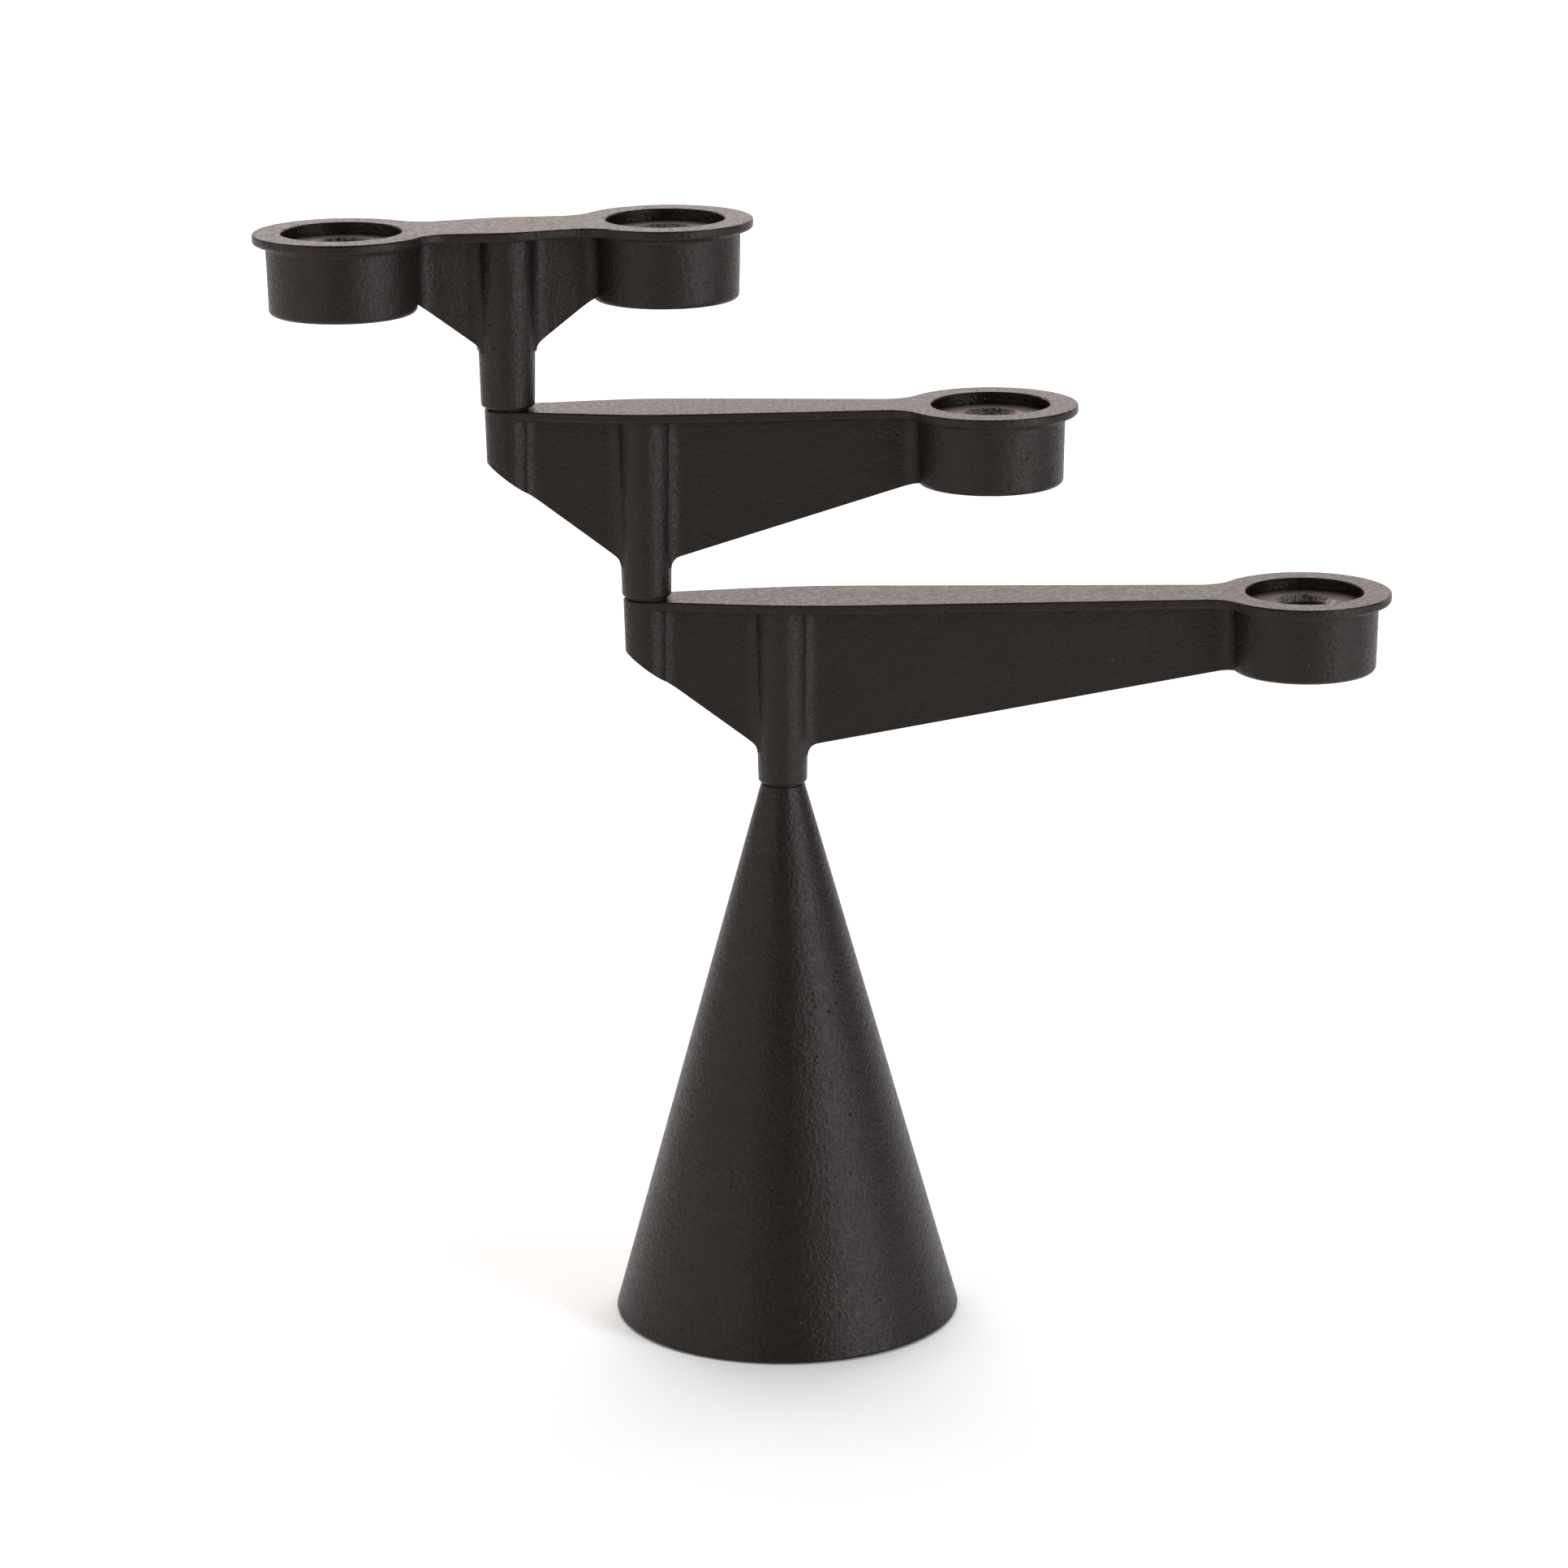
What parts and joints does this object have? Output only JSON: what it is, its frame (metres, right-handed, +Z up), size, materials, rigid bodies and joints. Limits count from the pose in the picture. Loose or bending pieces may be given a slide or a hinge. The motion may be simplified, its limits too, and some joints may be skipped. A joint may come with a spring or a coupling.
{
  "type": "tabletop candelabra",
  "caption": "Tabletop candelabra: a black cast iron cone carries stacked iron arms that swing on pivot pins and end in round candle cups for tea lights or slender candles.",
  "frame": {"origin": "centre of the foot, on the cone's axis, at the level of the table top", "axes": "+Z up, +X along the lower arm towards its cup at rest, +Y to the back"},
  "size_m": [0.3839, 0.1204, 0.3856],
  "materials": {
    "black_iron": "fine matt black powder coat over sand-cast iron",
    "steel": "ground bright steel",
    "bronze": "turned bronze",
    "nylon": "plain black nylon",
    "felt": "pressed black wool felt"
  },
  "bodies": {
    "base": {"base_cone": "black_iron", "base_pad": "felt", "base_stud": "steel", "stud_washer": "steel", "stud_nut": "steel", "lower_thrust_washer": "nylon"},
    "lower": {"lower_arm": "black_iron", "lower_bush": "bronze", "middle_pivot_pin": "steel", "middle_thrust_washer": "nylon"},
    "middle": {"middle_arm": "black_iron", "middle_bush": "bronze", "top_pivot_pin": "steel", "top_thrust_washer": "nylon"},
    "top": {"top_arm": "black_iron", "top_bush": "bronze"}
  },
  "joints": [
    {"name": "lower_swing", "type": "hinge", "parent": "base", "child": "lower", "pos_m": [0, 0, 0.1918], "axis": [0, 0, 1], "continuous": true},
    {"name": "middle_swing", "type": "hinge", "parent": "lower", "child": "middle", "pos_m": [-0.0459, 0, 0.2578], "axis": [0, 0, 1], "continuous": true},
    {"name": "top_swing", "type": "hinge", "parent": "middle", "child": "top", "pos_m": [-0.0918, 0, 0.324], "axis": [0, 0, 1], "continuous": true}
  ]
}
